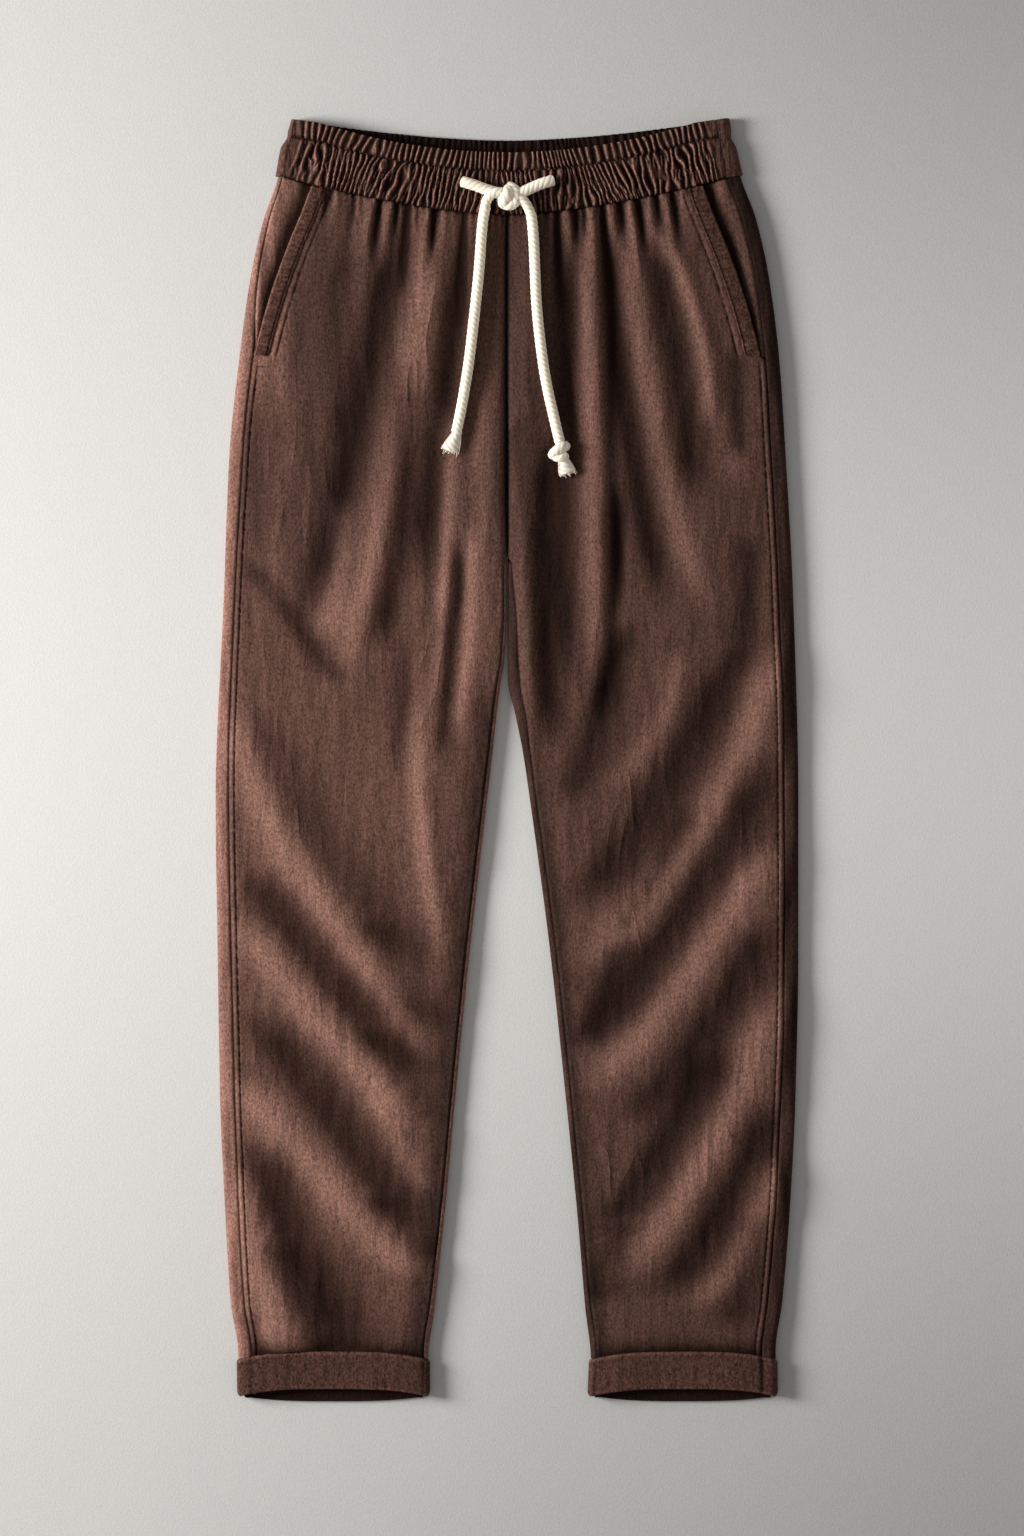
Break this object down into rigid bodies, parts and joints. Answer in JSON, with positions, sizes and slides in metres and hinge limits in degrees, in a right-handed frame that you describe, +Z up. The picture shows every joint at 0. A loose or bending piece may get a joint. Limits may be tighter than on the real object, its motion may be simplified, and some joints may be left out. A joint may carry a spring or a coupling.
{
  "type": "linen drawstring trousers laid flat",
  "caption": "Pair of loose linen trousers laid flat, with a gathered drawstring waist, slant pockets and banded hems.",
  "frame": {"origin": "middle of the outline, on the surface that the trousers lie on", "axes": "+Z up off the surface, +Y towards the waist, +X to the wearer's left"},
  "size_m": [0.4656, 1.0254, 0.0291],
  "materials": {
    "linen_cloth": "washed brown linen, plain weave with slubs",
    "linen_turned": "the same linen, turned double and stitched",
    "linen_band": "the same linen, gathered over elastic",
    "cotton_rope": "undyed twisted cotton rope"
  },
  "bodies": {
    "root": {"front_right": "linen_cloth", "front_left": "linen_cloth", "back_right": "linen_cloth", "back_left": "linen_cloth", "pocket_facing_right": "linen_cloth", "pocket_facing_left": "linen_cloth", "pocket_edge_right": "linen_turned", "pocket_edge_left": "linen_turned", "cuff_right": "linen_turned", "cuff_left": "linen_turned", "waistband_front": "linen_band", "waistband_back": "linen_band", "drawstring_knot": "cotton_rope", "drawstring_right": "cotton_rope", "drawstring_left": "cotton_rope", "end_knot_left": "cotton_rope", "frayed_end_right": "cotton_rope", "frayed_end_left": "cotton_rope"}
  },
  "joints": []
}
